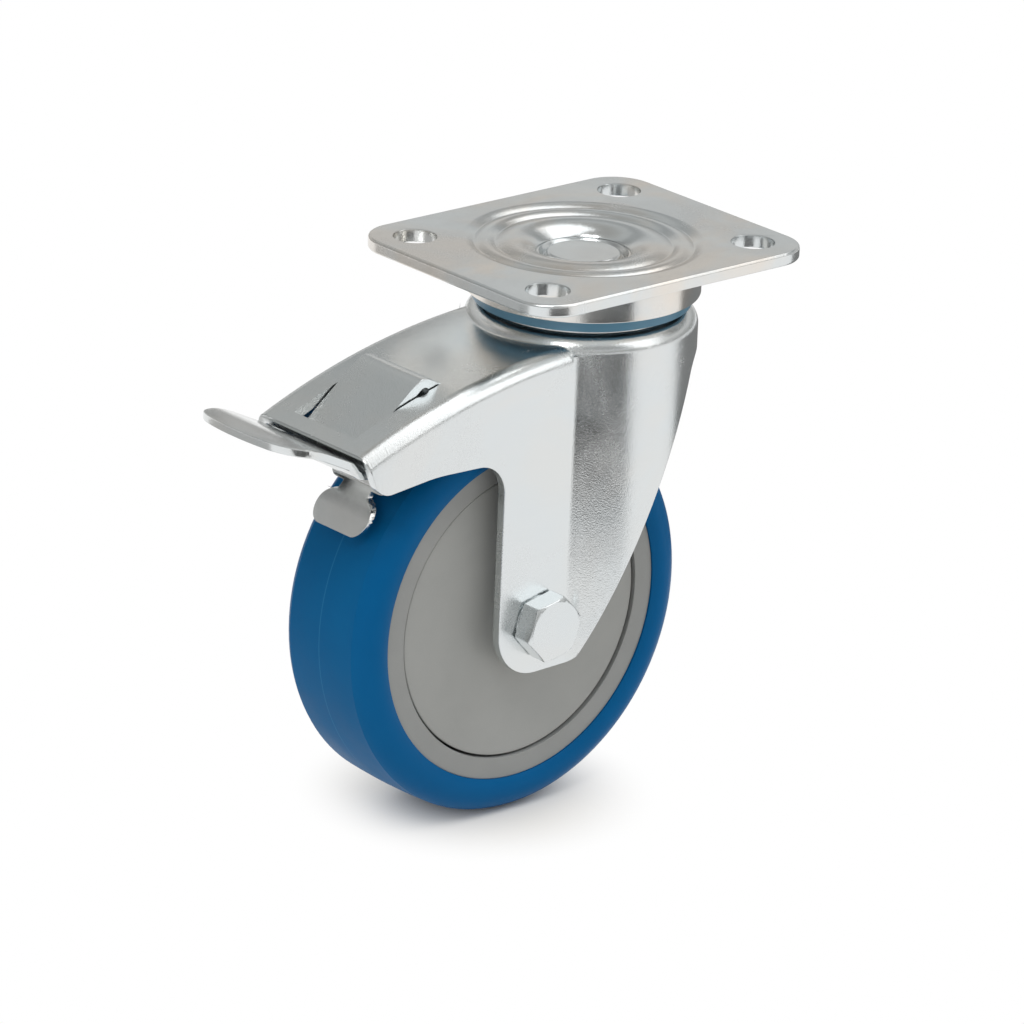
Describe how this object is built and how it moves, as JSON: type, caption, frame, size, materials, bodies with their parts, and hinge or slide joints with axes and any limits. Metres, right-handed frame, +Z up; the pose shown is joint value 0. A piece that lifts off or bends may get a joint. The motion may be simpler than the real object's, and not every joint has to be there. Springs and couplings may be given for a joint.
{
  "type": "castor wheel",
  "caption": "Swivel plate castor with a blue rubber tyre, a pressed zinc-plated fork, thread guards and a total-stop brake pedal",
  "frame": {"origin": "centre of the top plate's upper face, on the swivel axis", "axes": "+Z up, +X the rolling direction away from the pedal, wheel axle along Y"},
  "size_m": [0.184, 0.088, 0.168],
  "materials": {
    "zinc": "bright zinc plating",
    "bearing_steel": "hardened and ground",
    "seal": "moulded",
    "nylon": "moulded",
    "grey_plastic": "moulded polypropylene",
    "blue_rubber": "elastic rubber, smooth tread",
    "black_rubber": "moulded"
  },
  "bodies": {
    "plate": {"top_plate": "zinc", "head_cup": "zinc", "dust_seal": "seal", "king_pin": "zinc", "lower_race": "bearing_steel", "lock_ring": "bearing_steel"},
    "fork": {"fork": "zinc", "upper_balls": "bearing_steel", "lower_balls": "bearing_steel", "axle_bolt": "zinc", "axle_nut": "zinc", "nut_insert": "nylon", "axle_sleeve": "bearing_steel", "near_thread_guard": "grey_plastic", "far_thread_guard": "grey_plastic", "bearing_inner_rings": "bearing_steel", "brake_pivot": "bearing_steel"},
    "wheel": {"tyre": "blue_rubber", "wheel_rim": "grey_plastic", "bearing_outer_rings": "bearing_steel", "bearing_balls": "bearing_steel", "bearing_seals": "black_rubber"},
    "brake": {"brake_pedal": "zinc", "brake_leaf": "zinc"}
  },
  "joints": [
    {"name": "swivel", "type": "hinge", "parent": "plate", "child": "fork", "pos_m": [0, 0, 0], "axis": [0, 0, 1], "continuous": true},
    {"name": "wheel_spin", "type": "hinge", "parent": "fork", "child": "wheel", "pos_m": [-0.0342, 0, -0.1055], "axis": [0, 1, 0], "continuous": true},
    {"name": "brake_pedal", "type": "hinge", "parent": "fork", "child": "brake", "pos_m": [-0.07, 0, -0.03571], "axis": [0, -1, 0], "range_deg": [0, 4]}
  ]
}
